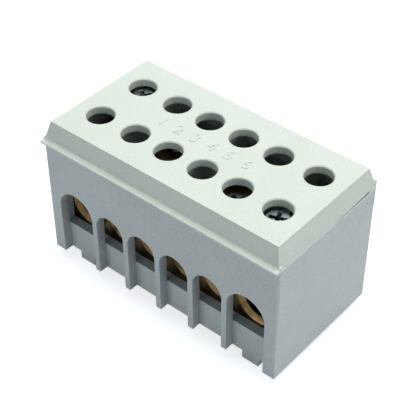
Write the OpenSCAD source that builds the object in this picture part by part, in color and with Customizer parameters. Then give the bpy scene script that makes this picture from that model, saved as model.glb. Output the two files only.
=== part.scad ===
// Power distribution block: a solid terminal bar with twelve clamp screws in a moulded housing
// that is open for wires along both long sides, under a plug-in cover with screwdriver holes.
// Millimetres, +Z up. The origin is under the middle of the block, at the undersides of the feet.

/* [Housing] */
// Length of the housing at the parting line
body_l = 65; // [62:0.5:80]
// Width of the housing at the parting line, from one wire side to the other
body_w = 33.6; // [31:0.2:44]
// Height from the undersides of the pillars to the parting line
base_h = 31.2; // [29:0.2:40]
// How far each end wall leans in at the bottom
draft_x = 0.15; // [0:0.05:0.4]
// How far each long wall leans in at the bottom
draft_y = 0.27; // [0:0.03:0.4]
// Radius of the upright outer corners
corner_r = 0.8; // [0.3:0.1:1.2]
// Thickness of the long walls, which is also the depth of the wire arches
side_wall = 2.5; // [1.5:0.1:3]
// Thickness of the end walls
end_wall = 2; // [1.2:0.1:2.2]
// Height of the inner floor above the undersides of the pillars
floor_h = 7.5; // [5:0.1:8.5]
// Thickness of the inner floor
floor_t = 2; // [1.2:0.1:3]
// Thickness of the webs under the floor, behind the arches
web_t = 2.1; // [1.2:0.1:3]
// How far the thin flange under the cover's lip stands out
flange_out = 0.6; // [0.3:0.1:0.9]
// Thickness of that flange
flange_t = 0.4; // [0.2:0.1:0.8]
// How far each corner rib, which locates the bar, stands in from the end wall
corner_rib_l = 0.6; // [0.3:0.1:0.8]
// How far the corner ribs stop below the bar's top
corner_rib_drop = 2; // [0:0.5:6]

/* [Wire entries] */
// Spacing of the four middle ways
mid_pitch = 9.35; // [9.2:0.05:9.8]
// Spacing from the last middle way to the end way
end_pitch = 10.3; // [10.1:0.05:10.6]
// Height of the wire axis above the undersides of the pillars
wire_h = 13.8; // [13.4:0.1:15]
// Height of the arches' centres above the undersides of the pillars
arch_h = 14.3; // [13:0.1:16]
// Width of a middle arch
mid_arch_w = 7.9; // [6:0.1:8.2]
// Width of an end arch
end_arch_w = 9.95; // [8:0.05:10.2]
// Chamfer round the mouth of each arch
arch_chamfer = 0.25; // [0.1:0.05:0.4]

/* [Feet] */
// Width of each foot
foot_w = 4.45; // [3:0.05:6]
// How far the feet reach below the pillars
foot_h = 2.2; // [1:0.1:4]

/* [Cover] */
// Height of the cover from the parting line to its top face
cover_h = 5.2; // [4.4:0.1:8]
// How far each end of the cover stands in from the housing's end face
cover_inset = 0.2; // [0.1:0.05:0.4]
// How far each side of the cover slopes in at the top
cover_slope = 1.33; // [0.6:0.01:1.8]
// Thickness of the top plate
top_t = 1.95; // [1.4:0.05:2.6]
// Thickness of the cover's sides
cover_wall = 1.8; // [1.2:0.1:2.2]
// Diameter of the screwdriver holes
driver_hole_d = 6.4; // [6.3:0.1:7.2]
// Distance between the two rows of screws
row_gap = 13.65; // [12.8:0.05:15.5]
// How far the front lip stands out
lip_out = 1; // [0.6:0.1:1.4]
// Thickness of the front lip
lip_t = 0.5; // [0.3:0.1:1]
// Radius of the hollow between the front lip and the slope
lip_fillet = 0.55; // [0.3:0.05:0.7]
// Height of the slot under the lip, where a blade prises the cover off
pry_gap = 0.25; // [0.1:0.05:0.3]
// Length of that slot
pry_l = 15; // [8:0.5:24]
// Place of that slot's middle along the lip
pry_x = -5.5; // [-12:0.5:12]
// Height of the rear skirt below the parting line
skirt_h = 6.2; // [3:0.1:9]
// How far the outside of the rear skirt stands out
skirt_out = 1; // [0.8:0.1:1.6]
// Gap left at the rear of each end, where a blade lifts the cover
lift_gap = 0.45; // [0:0.05:0.8]
// Depth of the rim that plugs into the housing
rim_h = 1.8; // [1:0.1:3]
// Thickness of that rim
rim_t = 1; // [0.8:0.1:1.4]
// Thickness of the ribs under the top plate that hold the bar down
hold_rib_t = 1.2; // [0.8:0.1:1.6]
// Chamfer round each screwdriver hole
cover_chamfer = 0.25; // [0.1:0.05:0.4]

/* [Terminal bar] */
// Depth of the bar's face behind the long wall's outer face
bar_set = 4.7; // [3.4:0.1:5]
// Height of the bar
bar_h = 18; // [16:0.1:21]
// Bore for a middle wire
mid_bore_d = 6.8; // [5:0.1:7.2]
// Bore for an end wire
end_bore_d = 9.1; // [7:0.1:9.4]
// Countersink of the bore's mouths, in width and depth
bore_chamfer = 1; // [0.4:0.1:1.1]

/* [Clamp screws] */
// Diameter of the clamp screws
screw_d = 6; // [5:0.1:6]
// Length of the clamp screws
screw_l = 12; // [10:0.5:12.5]
// Chamfer at the screw's top and tip
screw_chamfer = 0.5; // [0.2:0.1:0.9]
// Depth of the cross recess
recess_depth = 2.6; // [1.5:0.1:3.5]
// Length of each blade of the cross recess, tip to tip
recess_span = 3.9; // [3:0.1:4.4]
// Width of each blade of the cross recess
recess_blade = 0.95; // [0.6:0.05:1.2]
// How deep each front screw stands below the cover's top face, left to right
front_depths = [5.9, 5.2, 4.8, 5.3, 3.4, 2.3];
// How deep each rear screw stands below the cover's top face, left to right
rear_depths = [2.2, 5.2, 5.9, 4.4, 4.8, 4.6];

/* [Fits] */
// Clearance between the plugged rim and the housing walls
rim_clearance = 0.1; // [0.05:0.05:0.3]
// Clearance between the rear skirt and the housing
skirt_clearance = 0.1; // [0.05:0.05:0.3]
// Clearance between the bar and what locates it
bar_clearance = 0.15; // [0.05:0.05:0.3]
// Radial running clearance of each screw in the bar
screw_clearance = 0.06; // [0.02:0.01:0.1]

/* [Hidden] */
ROWS = ["front", "rear"];
WAYS = [1:6];

$fn = 48;
pass = 1;                                  // how far a cut runs past the surface it opens
pillar_z = foot_h;                         // undersides of the pillars and webs
floor_z = pillar_z + floor_h;              // the bar stands here
wire_z = pillar_z + wire_h;
arch_z = pillar_z + arch_h;
split_z = pillar_z + base_h;               // parting line
cover_top_z = split_z + cover_h;
inner_l = body_l - 2 * end_wall;
inner_w = body_w - 2 * side_wall;
bar_l = inner_l - 2 * bar_clearance;
bar_w = body_w - 2 * bar_set;
bar_top_z = floor_z + bar_h;
way_x = [for (way = WAYS) way_sign(way) * (way_is_end(way) ? mid_pitch * 1.5 + end_pitch
                                                           : mid_pitch * (abs(way - 3.5)))];
hold_rib_x = (way_x[4] + way_x[5]) / 2;    // the outer hold-down ribs stand between the last two ways

plastic_colour = [0.74, 0.76, 0.75];
cover_colour = [0.79, 0.81, 0.78];
brass_colour = [0.72, 0.56, 0.30];
zinc_colour = [0.72, 0.74, 0.76];

function way_sign(way) = way > 3.5 ? 1 : -1;
function way_is_end(way) = way == 1 || way == 6;
function arch_w(way) = way_is_end(way) ? end_arch_w : mid_arch_w;
function bore_d(way) = way_is_end(way) ? end_bore_d : mid_bore_d;
function row_sign(row) = row == "front" ? -1 : 1;
function screw_depth(row, way) = (row == "front" ? front_depths : rear_depths)[way - 1];

// The same shape on the front and, turned round, on the rear.
module both_long_sides() {
    children();
    rotate([0, 0, 180]) children();
}

// A rectangle about the origin with true round corners.
module rounded_rect(l, w, r) {
    square([l - 2 * r, w], center = true);
    square([l, w - 2 * r], center = true);
    for (x = [-1, 1]) for (y = [-1, 1]) translate([x * (l / 2 - r), y * (w / 2 - r)]) circle(r);
}

// A block whose four sides each slope evenly, from one size at the bottom to another at the top.
module tapered_block(bottom, top, h) {
    intersection() {
        rotate([90, 0, 0]) linear_extrude(max(bottom[1], top[1]), center = true)
            polygon([[-bottom[0] / 2, 0], [bottom[0] / 2, 0], [top[0] / 2, h], [-top[0] / 2, h]]);
        rotate([90, 0, 90]) linear_extrude(max(bottom[0], top[0]), center = true)
            polygon([[-bottom[1] / 2, 0], [bottom[1] / 2, 0], [top[1] / 2, h], [-top[1] / 2, h]]);
    }
}

// ---- Housing ----

// One arch through a long wall, open at the bottom, with a chamfered mouth on its outside.
module arch_cut(w) {
    r = w / 2;
    outer_r = r + arch_chamfer + pass;
    translate([0, -body_w / 2 + side_wall, 0]) rotate([90, 0, 0]) {
        linear_extrude(side_wall + pass) {
            translate([0, arch_z]) circle(r);
            translate([-r, 0]) square([w, arch_z]);
        }
        translate([0, arch_z, side_wall - arch_chamfer])
            cylinder(r1 = r, r2 = outer_r, h = arch_chamfer + pass);
        rotate([-90, 0, 0]) linear_extrude(arch_z) polygon([
            [-r, -side_wall + arch_chamfer], [r, -side_wall + arch_chamfer],
            [outer_r, -side_wall - pass], [-outer_r, -side_wall - pass]
        ]);
    }
}

// Thin flange along the top of a long wall, under the cover's lip.
module front_flange() {
    translate([-body_l / 2, -body_w / 2 - flange_out, split_z - flange_t])
        cube([body_l, flange_out + side_wall / 2, flange_t]);
}

// Upright rib in a corner of the housing that locates the end of the bar.
module corner_rib() {
    root = [end_wall / 2, side_wall / 2, floor_t / 2];
    translate([-inner_l / 2, -inner_w / 2, floor_z] - root)
        cube(root + [corner_rib_l, bar_set - bar_clearance - side_wall, bar_h - corner_rib_drop]);
}

module base_housing() color(plastic_colour) {
    under_w = inner_w - 2 * web_t;
    difference() {
        union() {
            difference() {
                intersection() {
                    translate([0, 0, pillar_z]) tapered_block(
                        [body_l - 2 * draft_x, body_w - 2 * draft_y], [body_l, body_w], base_h);
                    linear_extrude(split_z + pass) rounded_rect(body_l, body_w, corner_r);
                }
                translate([-inner_l / 2, -inner_w / 2, floor_z]) cube([inner_l, inner_w, base_h]);
                translate([-inner_l / 2, -under_w / 2, pillar_z - pass])
                    cube([inner_l, under_w, floor_h - floor_t + pass]);
            }
            front_flange();
            both_long_sides() {
                corner_rib();
                mirror([1, 0, 0]) corner_rib();
                for (way = [1, 6]) translate([way_x[way - 1] - foot_w / 2, -inner_w / 2, 0])
                    cube([foot_w, web_t, pillar_z + pass]);
            }
        }
        both_long_sides() for (way = WAYS) translate([way_x[way - 1], 0, 0]) arch_cut(arch_w(way));
    }
}

// ---- Cover ----

// Outside of the cover above the parting line; the ends rise towards the rear by lift_gap.
module cover_shell() {
    foot = [body_l - 2 * cover_inset, body_w];
    slope = 2 * [cover_slope, cover_slope];
    walls = 2 * [cover_wall, cover_wall];
    difference() {
        intersection() {
            translate([0, 0, split_z]) tapered_block(foot, foot - slope, cover_h);
            linear_extrude(cover_top_z + pass) rounded_rect(foot[0], foot[1], corner_r);
        }
        translate([0, 0, split_z - pass])
            tapered_block(foot - walls, foot - walls - slope, cover_h - top_t + pass);
    }
}

// Front lip: a thin straight edge that runs into the slope with a hollow.
module front_lip() {
    steps = 6;
    root = cover_slope * (lip_t + lip_fillet) / cover_h;
    arc = [for (i = [0:steps]) let (a = 90 * i / steps)
        [-lip_out + (lip_out + root) * sin(a), lip_t + lip_fillet * (1 - cos(a))]];
    difference() {
        translate([0, -body_w / 2, split_z]) rotate([90, 0, 90])
            linear_extrude(body_l, center = true) polygon(concat(
                [[cover_wall / 2, lip_t + lip_fillet], [cover_wall / 2, 0], [-lip_out, 0]], arc));
        translate([pry_x - pry_l / 2, -body_w / 2 - lip_out - pass, split_z - pass])
            cube([pry_l, lip_out + pass, pry_gap + pass]);
    }
}

// Rear skirt: hangs over the outside of the housing's rear wall.
module rear_skirt() {
    inner_y = body_w / 2 + skirt_clearance;
    translate([0, 0, split_z]) rotate([90, 0, 90]) linear_extrude(body_l - 2 * corner_r, center = true)
        polygon([
            [body_w / 2 - cover_wall / 2, lift_gap], [inner_y, lift_gap], [inner_y, -skirt_h],
            [body_w / 2 + skirt_out, -skirt_h], [body_w / 2 + skirt_out, lift_gap + lip_t],
            [body_w / 2 - cover_wall / 2, lift_gap + lip_t + lip_out]
        ]);
}

// Rim under the cover that plugs into the mouth of the housing.
module plug_rim() {
    outer = [inner_l - 2 * rim_clearance, inner_w - 2 * rim_clearance];
    translate([0, 0, split_z - rim_h]) linear_extrude(rim_h + cover_h - top_t / 2) difference() {
        square(outer, center = true);
        square(outer - 2 * [rim_t, rim_t], center = true);
    }
}

// Ribs across the cover, from the top plate down to the bar, which keep the bar on its floor.
module hold_down_ribs() {
    bottom_z = bar_top_z + bar_clearance;
    for (x = [-hold_rib_x, 0, hold_rib_x]) translate([x, 0, bottom_z])
        linear_extrude(cover_top_z - top_t / 2 - bottom_z)
            square([hold_rib_t, inner_w - 2 * rim_clearance - rim_t], center = true);
}

// One screwdriver hole about the Z axis, through the rim and the top plate, chamfered at the top.
module driver_hole() {
    translate([0, 0, split_z - rim_h - pass]) cylinder(d = driver_hole_d, h = rim_h + cover_h + 2 * pass);
    translate([0, 0, cover_top_z - cover_chamfer]) cylinder(
        d1 = driver_hole_d, d2 = driver_hole_d + 2 * (cover_chamfer + pass), h = cover_chamfer + pass);
}

module cover() color(cover_colour) difference() {
    union() {
        cover_shell();
        front_lip();
        rear_skirt();
        plug_rim();
        hold_down_ribs();
    }
    // wedge that leaves the lift gap at both ends and along the rear
    translate([0, 0, split_z]) rotate([90, 0, 90]) linear_extrude(body_l + 2 * pass, center = true)
        polygon([[0, 0], [body_w / 2 - side_wall, lift_gap], [body_w / 2 - side_wall, 0]]);
    for (row = ROWS) for (way = WAYS)
        translate([way_x[way - 1], row_sign(row) * row_gap / 2, 0]) driver_hole();
}

// ---- Terminal bar ----

module terminal_bar() color(brass_colour) difference() {
    translate([-bar_l / 2, -bar_w / 2, floor_z]) cube([bar_l, bar_w, bar_h]);
    for (way = WAYS) translate([way_x[way - 1], 0, wire_z]) {
        rotate([90, 0, 0]) cylinder(d = bore_d(way), h = bar_w + 2 * pass, center = true);
        both_long_sides() translate([0, -bar_w / 2 + bore_chamfer, 0]) rotate([90, 0, 0])
            cylinder(d1 = bore_d(way), d2 = bore_d(way) + 2 * (bore_chamfer + pass), h = bore_chamfer + pass);
        for (row = ROWS) translate([0, row_sign(row) * row_gap / 2, 0])
            cylinder(r = screw_d / 2 + screw_clearance, h = bar_top_z - wire_z + pass);
    }
}

// ---- Clamp screws ----

// Headless screw, top face at z = 0, with a cross recess.
module screw() {
    r = screw_d / 2;
    difference() {
        rotate_extrude() polygon([
            [0, 0], [r - screw_chamfer, 0], [r, -screw_chamfer], [r, -screw_l + screw_chamfer],
            [r - screw_chamfer, -screw_l], [0, -screw_l]
        ]);
        for (turn = [0, 90]) rotate([0, 0, turn]) rotate([90, 0, 0])
            linear_extrude(recess_blade, center = true) polygon([
                [-recess_span / 2, pass], [recess_span / 2, pass], [recess_span / 2, 0],
                [recess_blade, -recess_depth], [-recess_blade, -recess_depth], [-recess_span / 2, 0]
            ]);
    }
}

module clamp_screw(row, way) color(zinc_colour)
    translate([way_x[way - 1], row_sign(row) * row_gap / 2, cover_top_z - screw_depth(row, way)])
        rotate([0, 0, 37 * way + 20 * row_sign(row)]) screw();

base_housing();
cover();
terminal_bar();
for (row = ROWS) for (way = WAYS)
    clamp_screw(row, way);
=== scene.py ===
"""Looks of the power distribution block: moulded grey plastic, machined brass and zinc-plated screws."""
import math

import bmesh
import bpy
from mathutils import Matrix, Vector


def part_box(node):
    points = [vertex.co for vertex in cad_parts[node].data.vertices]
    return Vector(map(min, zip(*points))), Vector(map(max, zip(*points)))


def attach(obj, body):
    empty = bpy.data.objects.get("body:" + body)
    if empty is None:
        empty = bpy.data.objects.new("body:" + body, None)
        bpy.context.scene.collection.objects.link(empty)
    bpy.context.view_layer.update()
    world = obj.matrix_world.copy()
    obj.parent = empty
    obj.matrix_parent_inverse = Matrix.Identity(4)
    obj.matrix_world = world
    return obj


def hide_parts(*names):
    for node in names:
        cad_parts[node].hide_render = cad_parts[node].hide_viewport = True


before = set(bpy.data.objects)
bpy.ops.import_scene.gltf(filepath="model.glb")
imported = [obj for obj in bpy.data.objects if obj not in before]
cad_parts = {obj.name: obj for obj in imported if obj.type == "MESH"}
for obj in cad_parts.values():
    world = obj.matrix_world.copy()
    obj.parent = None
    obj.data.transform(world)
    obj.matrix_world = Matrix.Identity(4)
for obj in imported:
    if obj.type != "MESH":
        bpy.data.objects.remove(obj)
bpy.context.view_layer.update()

MM = 0.001


# ---- small helpers ----

def new_object(name, mesh):
    """A mesh object in the scene's own collection."""
    piece = bpy.data.objects.new(name, mesh)
    bpy.context.scene.collection.objects.link(piece)
    return piece


def apply_modifiers(piece):
    """Bakes the piece's modifiers into its mesh."""
    graph = bpy.context.evaluated_depsgraph_get()
    mesh = bpy.data.meshes.new_from_object(piece.evaluated_get(graph))
    piece.modifiers.clear()
    piece.data = mesh


WELD = 0.002 * MM                     # vertices nearer than this are one
FLAT_ANGLE = math.radians(0.4)        # facets that meet at less are one flat face
EDGE_ANGLE = math.radians(28)         # edges sharper than this get a radius
EDGE_SEGMENTS = 3


def soft_edged(node, width):
    """A copy of a CAD node's mesh whose sharp edges have a small radius, as moulded parts have."""
    mesh = bpy.data.meshes.new(node + "_soft")
    shape = bmesh.new()
    shape.from_mesh(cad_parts[node].data)
    bmesh.ops.remove_doubles(shape, verts=shape.verts, dist=WELD)
    bmesh.ops.dissolve_limit(shape, angle_limit=FLAT_ANGLE, verts=shape.verts, edges=shape.edges)
    shape.to_mesh(mesh)
    shape.free()
    piece = new_object(node + "_soft", mesh)
    bevel = piece.modifiers.new("edge_radius", "BEVEL")
    bevel.width = width
    bevel.segments = EDGE_SEGMENTS
    bevel.limit_method = "ANGLE"
    bevel.angle_limit = EDGE_ANGLE
    bevel.use_clamp_overlap = True
    bevel.harden_normals = True
    flatten = piece.modifiers.new("flat_faces", "WEIGHTED_NORMAL")
    flatten.keep_sharp = True
    for polygon in piece.data.polygons:
        polygon.use_smooth = True
    apply_modifiers(piece)
    return piece


# ---- camera, floor and light ----

AZIMUTH, ELEVATION, ROLL = math.radians(39.79), math.radians(41.15), math.radians(0.16)
CAMERA_DISTANCE = 0.27406
CAMERA_TARGET = Vector((-0.00998, 0.01327, 0.00568))
FOCAL_LENGTH_MM = 97.49


def add_camera():
    back = Vector((math.sin(AZIMUTH) * math.cos(ELEVATION), -math.cos(AZIMUTH) * math.cos(ELEVATION),
                   math.sin(ELEVATION)))
    camera = bpy.data.objects.new("camera", bpy.data.cameras.new("camera"))
    camera.data.lens = FOCAL_LENGTH_MM
    camera.data.sensor_width = 36
    camera.data.clip_start = 0.01
    turn = back.to_track_quat("Z", "Y").to_matrix().to_4x4() @ Matrix.Rotation(ROLL, 4, "Z")
    camera.matrix_world = Matrix.Translation(CAMERA_TARGET + CAMERA_DISTANCE * back) @ turn
    bpy.context.scene.collection.objects.link(camera)
    bpy.context.scene.camera = camera


def seen_directly(tree):
    """1 for rays from the camera, off gloss or through glass, else 0."""
    path = tree.nodes.new("ShaderNodeLightPath")
    total = None
    for name in ("Is Camera Ray", "Is Glossy Ray", "Is Transmission Ray"):
        if total is None:
            total = path.outputs[name]
            continue
        maximum = tree.nodes.new("ShaderNodeMath")
        maximum.operation = "MAXIMUM"
        tree.links.new(total, maximum.inputs[0])
        tree.links.new(path.outputs[name], maximum.inputs[1])
        total = maximum.outputs[0]
    return total


FLOOR_HALF = 3.0
FLOOR_COLOUR = (0.66, 0.67, 0.70, 1)
FLOOR_LIFT = 0.72                     # added to the floor only where it is seen, so that it shows white
AMBIENT = 0.22
AMBIENT_COLOUR = (0.55, 0.75, 1.0, 1)


def add_floor():
    """Pale floor that keeps the object's shadow."""
    half = FLOOR_HALF
    mesh = bpy.data.meshes.new("floor")
    corners = [(-half, -half, 0), (half, -half, 0), (half, half, 0), (-half, half, 0)]
    mesh.from_pydata(corners, [], [(0, 1, 2, 3)])
    floor = new_object("floor", mesh)
    material = bpy.data.materials.new("floor_pale")
    material.use_nodes = True
    tree = material.node_tree
    tree.nodes.clear()
    diffuse = tree.nodes.new("ShaderNodeBsdfDiffuse")
    diffuse.inputs["Color"].default_value = FLOOR_COLOUR
    lift = tree.nodes.new("ShaderNodeEmission")
    strength = tree.nodes.new("ShaderNodeMath")
    strength.operation = "MULTIPLY"
    strength.inputs[1].default_value = FLOOR_LIFT
    both = tree.nodes.new("ShaderNodeAddShader")
    out = tree.nodes.new("ShaderNodeOutputMaterial")
    tree.links.new(seen_directly(tree), strength.inputs[0])
    tree.links.new(strength.outputs[0], lift.inputs["Strength"])
    tree.links.new(diffuse.outputs[0], both.inputs[0])
    tree.links.new(lift.outputs[0], both.inputs[1])
    tree.links.new(both.outputs[0], out.inputs["Surface"])
    mesh.materials.append(material)


def add_world():
    """Dim sky light for the shadows, white where it is seen."""
    world = bpy.data.worlds.new("studio")
    world.use_nodes = True
    tree = world.node_tree
    tree.nodes.clear()
    ambient = tree.nodes.new("ShaderNodeBackground")
    ambient.inputs["Strength"].default_value = AMBIENT
    ambient.inputs["Color"].default_value = AMBIENT_COLOUR
    backdrop = tree.nodes.new("ShaderNodeBackground")
    backdrop.inputs["Color"].default_value = (1, 1, 1, 1)
    mix = tree.nodes.new("ShaderNodeMixShader")
    out = tree.nodes.new("ShaderNodeOutputWorld")
    tree.links.new(seen_directly(tree), mix.inputs["Fac"])
    tree.links.new(ambient.outputs[0], mix.inputs[1])
    tree.links.new(backdrop.outputs[0], mix.inputs[2])
    tree.links.new(mix.outputs[0], out.inputs["Surface"])
    bpy.context.scene.world = world


# name: place, power in watts, side in metres, colour
LAMPS = {
    "overhead": ((-0.02, 0.16, 0.62), 4.9, 0.5, (1.0, 0.99, 0.96)),
    "right_fill": ((0.65, 0.05, 0.25), 1.25, 0.4, (1.0, 0.97, 0.92)),
    "front_fill": ((-0.20, -0.60, 0.22), 0.85, 0.5, (1.0, 0.98, 0.95)),
}


def add_area_light(name, place, power, size, colour):
    """A square lamp that points at the origin."""
    lamp = bpy.data.lights.new(name, "AREA")
    lamp.shape = "SQUARE"
    lamp.size = size
    lamp.energy = power
    lamp.color = colour
    light = bpy.data.objects.new(name, lamp)
    light.matrix_world = (Matrix.Translation(Vector(place))
                          @ Vector(place).to_track_quat("Z", "Y").to_matrix().to_4x4())
    bpy.context.scene.collection.objects.link(light)


bpy.context.scene.view_settings.view_transform = "Standard"
add_camera()
add_floor()
add_world()
for lamp_name, settings in LAMPS.items():
    add_area_light(lamp_name, *settings)


# ---- materials ----

def noise(tree, scale, detail):
    """Noise over the object's own coordinates; scale is in bumps per metre."""
    place = tree.nodes.new("ShaderNodeTexCoord")
    texture = tree.nodes.new("ShaderNodeTexNoise")
    texture.inputs["Scale"].default_value = scale
    texture.inputs["Detail"].default_value = detail
    tree.links.new(place.outputs["Object"], texture.inputs["Vector"])
    return texture.outputs["Fac"]


def ramp(tree, factor, low, high, start=0.3, end=0.7):
    """Blends from low to high as factor goes from start to end."""
    blend = tree.nodes.new("ShaderNodeValToRGB")
    blend.color_ramp.elements[0].position = start
    blend.color_ramp.elements[0].color = (*low, 1)
    blend.color_ramp.elements[1].position = end
    blend.color_ramp.elements[1].color = (*high, 1)
    tree.links.new(factor, blend.inputs["Fac"])
    return blend.outputs["Color"]


def spread(tree, factor, low, high):
    """Maps a 0..1 factor onto low..high."""
    mapped = tree.nodes.new("ShaderNodeMapRange")
    mapped.inputs["To Min"].default_value = low
    mapped.inputs["To Max"].default_value = high
    tree.links.new(factor, mapped.inputs["Value"])
    return mapped.outputs["Result"]


def bumps(tree, shader, *layers):
    """Stacks (height, strength, distance) bump layers on a shader."""
    normal = None
    for height, strength, distance in layers:
        bump = tree.nodes.new("ShaderNodeBump")
        bump.inputs["Strength"].default_value = strength
        bump.inputs["Distance"].default_value = distance
        tree.links.new(height, bump.inputs["Height"])
        if normal is not None:
            tree.links.new(normal, bump.inputs["Normal"])
        normal = bump.outputs["Normal"]
    tree.links.new(normal, shader.inputs["Normal"])


def new_material(name):
    material = bpy.data.materials.new(name)
    material.use_nodes = True
    return material, material.node_tree, material.node_tree.nodes["Principled BSDF"]


SPECKLE = 0.16                        # how strongly the moulded grain shows as colour
SPECKLE_DARK, SPECKLE_LIGHT = (0.1, 0.1, 0.1), (0.9, 0.9, 0.9)
PLASTIC_ROUGHNESS = (0.42, 0.62)
PLASTIC_SPECULAR = 0.25
# One plastic for both parts: the housing's darker, cooler grey is painted shade on its upright walls, the
# cover's lighter, greener grey is painted light on its top.
SHADED_HOUSING_GREY = ((0.45, 0.485, 0.475), (0.48, 0.515, 0.505))
LIT_COVER_GREY = ((0.56, 0.60, 0.535), (0.59, 0.63, 0.565))
BRASS_ROUGHNESS = (0.25, 0.5)
# Brass kept near black: painted shade for the bar deep inside the block; the spread between the two colours
# is tarnish in patches.
TARNISH_AND_PAINTED_SHADE = ((0.016, 0.010, 0.004), (0.075, 0.048, 0.020))
# Brighter brass on the countersink cones: a painted highlight where the bores' rims catch the light.
COUNTERSINK_HIGHLIGHT = ((0.030, 0.020, 0.008), (0.20, 0.14, 0.065))
ZINC_ROUGHNESS = (0.18, 0.38)
# Zinc kept dark: painted shade and dark reflection for the screws down in their holes; the bluish
# patchiness is the plating's own.
SHADED_ZINC = ((0.06, 0.075, 0.08), (0.22, 0.26, 0.27))


def moulded_plastic(name, dark, light):
    """Satin moulded plastic: fine spark-eroded grain, faint flow mottling, uneven sheen."""
    material, tree, shader = new_material(name)
    mottle = noise(tree, 90, 4)
    grain = noise(tree, 4200, 2)
    smears = noise(tree, 260, 5)
    speckle = tree.nodes.new("ShaderNodeMix")
    speckle.data_type = "RGBA"
    speckle.blend_type = "OVERLAY"
    speckle.inputs["Factor"].default_value = SPECKLE
    tree.links.new(ramp(tree, mottle, dark, light), speckle.inputs["A"])
    tree.links.new(ramp(tree, grain, SPECKLE_DARK, SPECKLE_LIGHT), speckle.inputs["B"])
    tree.links.new(speckle.outputs["Result"], shader.inputs["Base Color"])
    tree.links.new(spread(tree, smears, *PLASTIC_ROUGHNESS), shader.inputs["Roughness"])
    shader.inputs["Specular IOR Level"].default_value = PLASTIC_SPECULAR
    bumps(tree, shader, (grain, 0.45, 0.00004), (smears, 0.08, 0.0001))
    return material


def machined_brass(name, dark, light):
    """Machined brass: tarnish in patches, fine tool marks."""
    material, tree, shader = new_material(name)
    tarnish = noise(tree, 320, 6)
    marks = noise(tree, 2600, 4)
    tree.links.new(ramp(tree, tarnish, dark, light), shader.inputs["Base Color"])
    tree.links.new(spread(tree, marks, *BRASS_ROUGHNESS), shader.inputs["Roughness"])
    shader.inputs["Metallic"].default_value = 1
    bumps(tree, shader, (marks, 0.3, 0.00004), (tarnish, 0.15, 0.0001))
    return material


def zinc_plate(name, dark, light):
    """Bluish zinc plating with slight patchiness, coloured dark as painted shade and dark reflection for
    the screws down in their holes.
    """
    material, tree, shader = new_material(name)
    patches = noise(tree, 700, 4)
    scratches = noise(tree, 5000, 3)
    tree.links.new(ramp(tree, patches, dark, light), shader.inputs["Base Color"])
    tree.links.new(spread(tree, scratches, *ZINC_ROUGHNESS), shader.inputs["Roughness"])
    shader.inputs["Metallic"].default_value = 1
    bumps(tree, shader, (scratches, 0.15, 0.00002))
    return material


housing_plastic = moulded_plastic("housing_plastic", *SHADED_HOUSING_GREY)
cover_plastic = moulded_plastic("cover_plastic", *LIT_COVER_GREY)
brass = machined_brass("terminal_brass", *TARNISH_AND_PAINTED_SHADE)
highlighted_brass = machined_brass("countersink_highlight_brass", *COUNTERSINK_HIGHLIGHT)
zinc = zinc_plate("screw_zinc", *SHADED_ZINC)


def dress(piece, material):
    piece.data.materials.clear()
    piece.data.materials.append(material)


# ---- the pieces ----

HOUSING_EDGE, COVER_EDGE, BAR_EDGE, SCREW_EDGE = 0.15 * MM, 0.2 * MM, 0.12 * MM, 0.06 * MM
THREAD_PITCH = 1.0 * MM
THREAD_DEPTH = 0.45 * MM
THREAD_END = 0.7 * MM                 # plain stretch at each end of a screw
SLICES_PER_TURN = 6
SIDE_SHARE = 0.97                     # points past this share of the radius are on the screw's side
CONE_NORMAL = (0.4, 0.9)              # a countersink's faces have a Y normal between these
BORE_MOUTH = 11.0 * MM                # and lie further than this from the middle plane
DIGITS = 6
DIGIT_SIZE = 4.2 * MM
DIGIT_RELIEF = 0.12 * MM
DIGIT_SPACING = 4.6 * MM
DIGIT_MIDDLE = -0.7 * MM


def stand_in(node, material, edge_width):
    """Shows a soft-edged copy of a CAD node in its place."""
    piece = soft_edged(node, edge_width)
    dress(piece, material)
    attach(piece, "block")
    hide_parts(node)
    return piece


def brighten_countersinks(bar):
    """Gives the cones at the bores' mouths a brighter colour than the brass's sides: a painted highlight
    where the rims catch the light, against the sides' painted shade and tarnish.
    """
    bar.data.materials.append(highlighted_brass)
    for polygon in bar.data.polygons:
        if CONE_NORMAL[0] < abs(polygon.normal.y) < CONE_NORMAL[1] and abs(polygon.center.y) > BORE_MOUTH:
            polygon.material_index = 1


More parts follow.
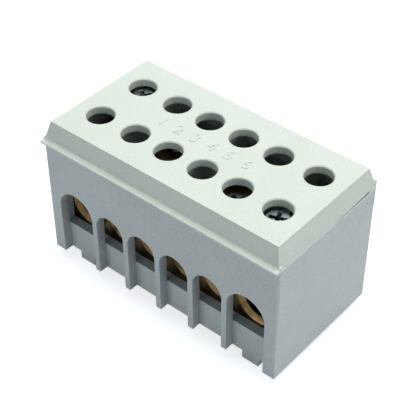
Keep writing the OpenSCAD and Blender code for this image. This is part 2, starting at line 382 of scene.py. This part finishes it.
def threaded_screw(node):
    """A clamp screw cut with a real helical thread, in the place of its plain cylinder."""
    piece = soft_edged(node, SCREW_EDGE)
    low, high = (Vector(corner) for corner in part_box(node))
    centre, radius = (low + high) / 2, (high.x - low.x) / 2
    shape = bmesh.new()
    shape.from_mesh(piece.data)
    first, last = low.z + THREAD_END, high.z - THREAD_END
    slices = int((last - first) / (THREAD_PITCH / SLICES_PER_TURN))
    for i in range(slices + 1):
        height = first + (last - first) * i / slices
        bmesh.ops.bisect_plane(shape, geom=shape.verts[:] + shape.edges[:] + shape.faces[:],
                               plane_co=(0, 0, height), plane_no=(0, 0, 1))
    for vert in shape.verts:
        arm = Vector((vert.co.x - centre.x, vert.co.y - centre.y, 0))
        if arm.length < radius * SIDE_SHARE or not first < vert.co.z < last:
            continue
        turn = (vert.co.z / THREAD_PITCH - math.atan2(arm.y, arm.x) / math.tau) % 1
        vert.co -= arm.normalized() * THREAD_DEPTH * abs(2 * turn - 1)
    shape.to_mesh(piece.data)
    shape.free()
    dress(piece, zinc)
    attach(piece, node)
    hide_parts(node)


def raised_digit(number):
    """A plain moulded numeral on the cover, between the rows of holes."""
    curve = bpy.data.curves.new(f"digit_{number}_curve", "FONT")
    curve.body = str(number)
    curve.size = DIGIT_SIZE
    curve.extrude = DIGIT_RELIEF
    curve.align_x = "CENTER"
    curve.align_y = "CENTER"
    holder = bpy.data.objects.new(f"digit_{number}_curve", curve)
    bpy.context.scene.collection.objects.link(holder)
    mesh = bpy.data.meshes.new_from_object(holder.evaluated_get(bpy.context.evaluated_depsgraph_get()))
    bpy.data.objects.remove(holder)
    top = max(corner[2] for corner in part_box("cover"))
    mesh.transform(Matrix.Translation((DIGIT_MIDDLE + DIGIT_SPACING * (number - (DIGITS + 1) / 2), 0, top)))
    piece = new_object(f"digit_{number}", mesh)
    dress(piece, cover_plastic)
    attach(piece, "block")


stand_in("base_housing", housing_plastic, HOUSING_EDGE)
stand_in("cover", cover_plastic, COVER_EDGE)
bar = stand_in("terminal_bar", brass, BAR_EDGE)
brighten_countersinks(bar)
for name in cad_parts:
    if name.startswith("clamp_screw"):
        threaded_screw(name)
for number in range(1, DIGITS + 1):
    raised_digit(number)
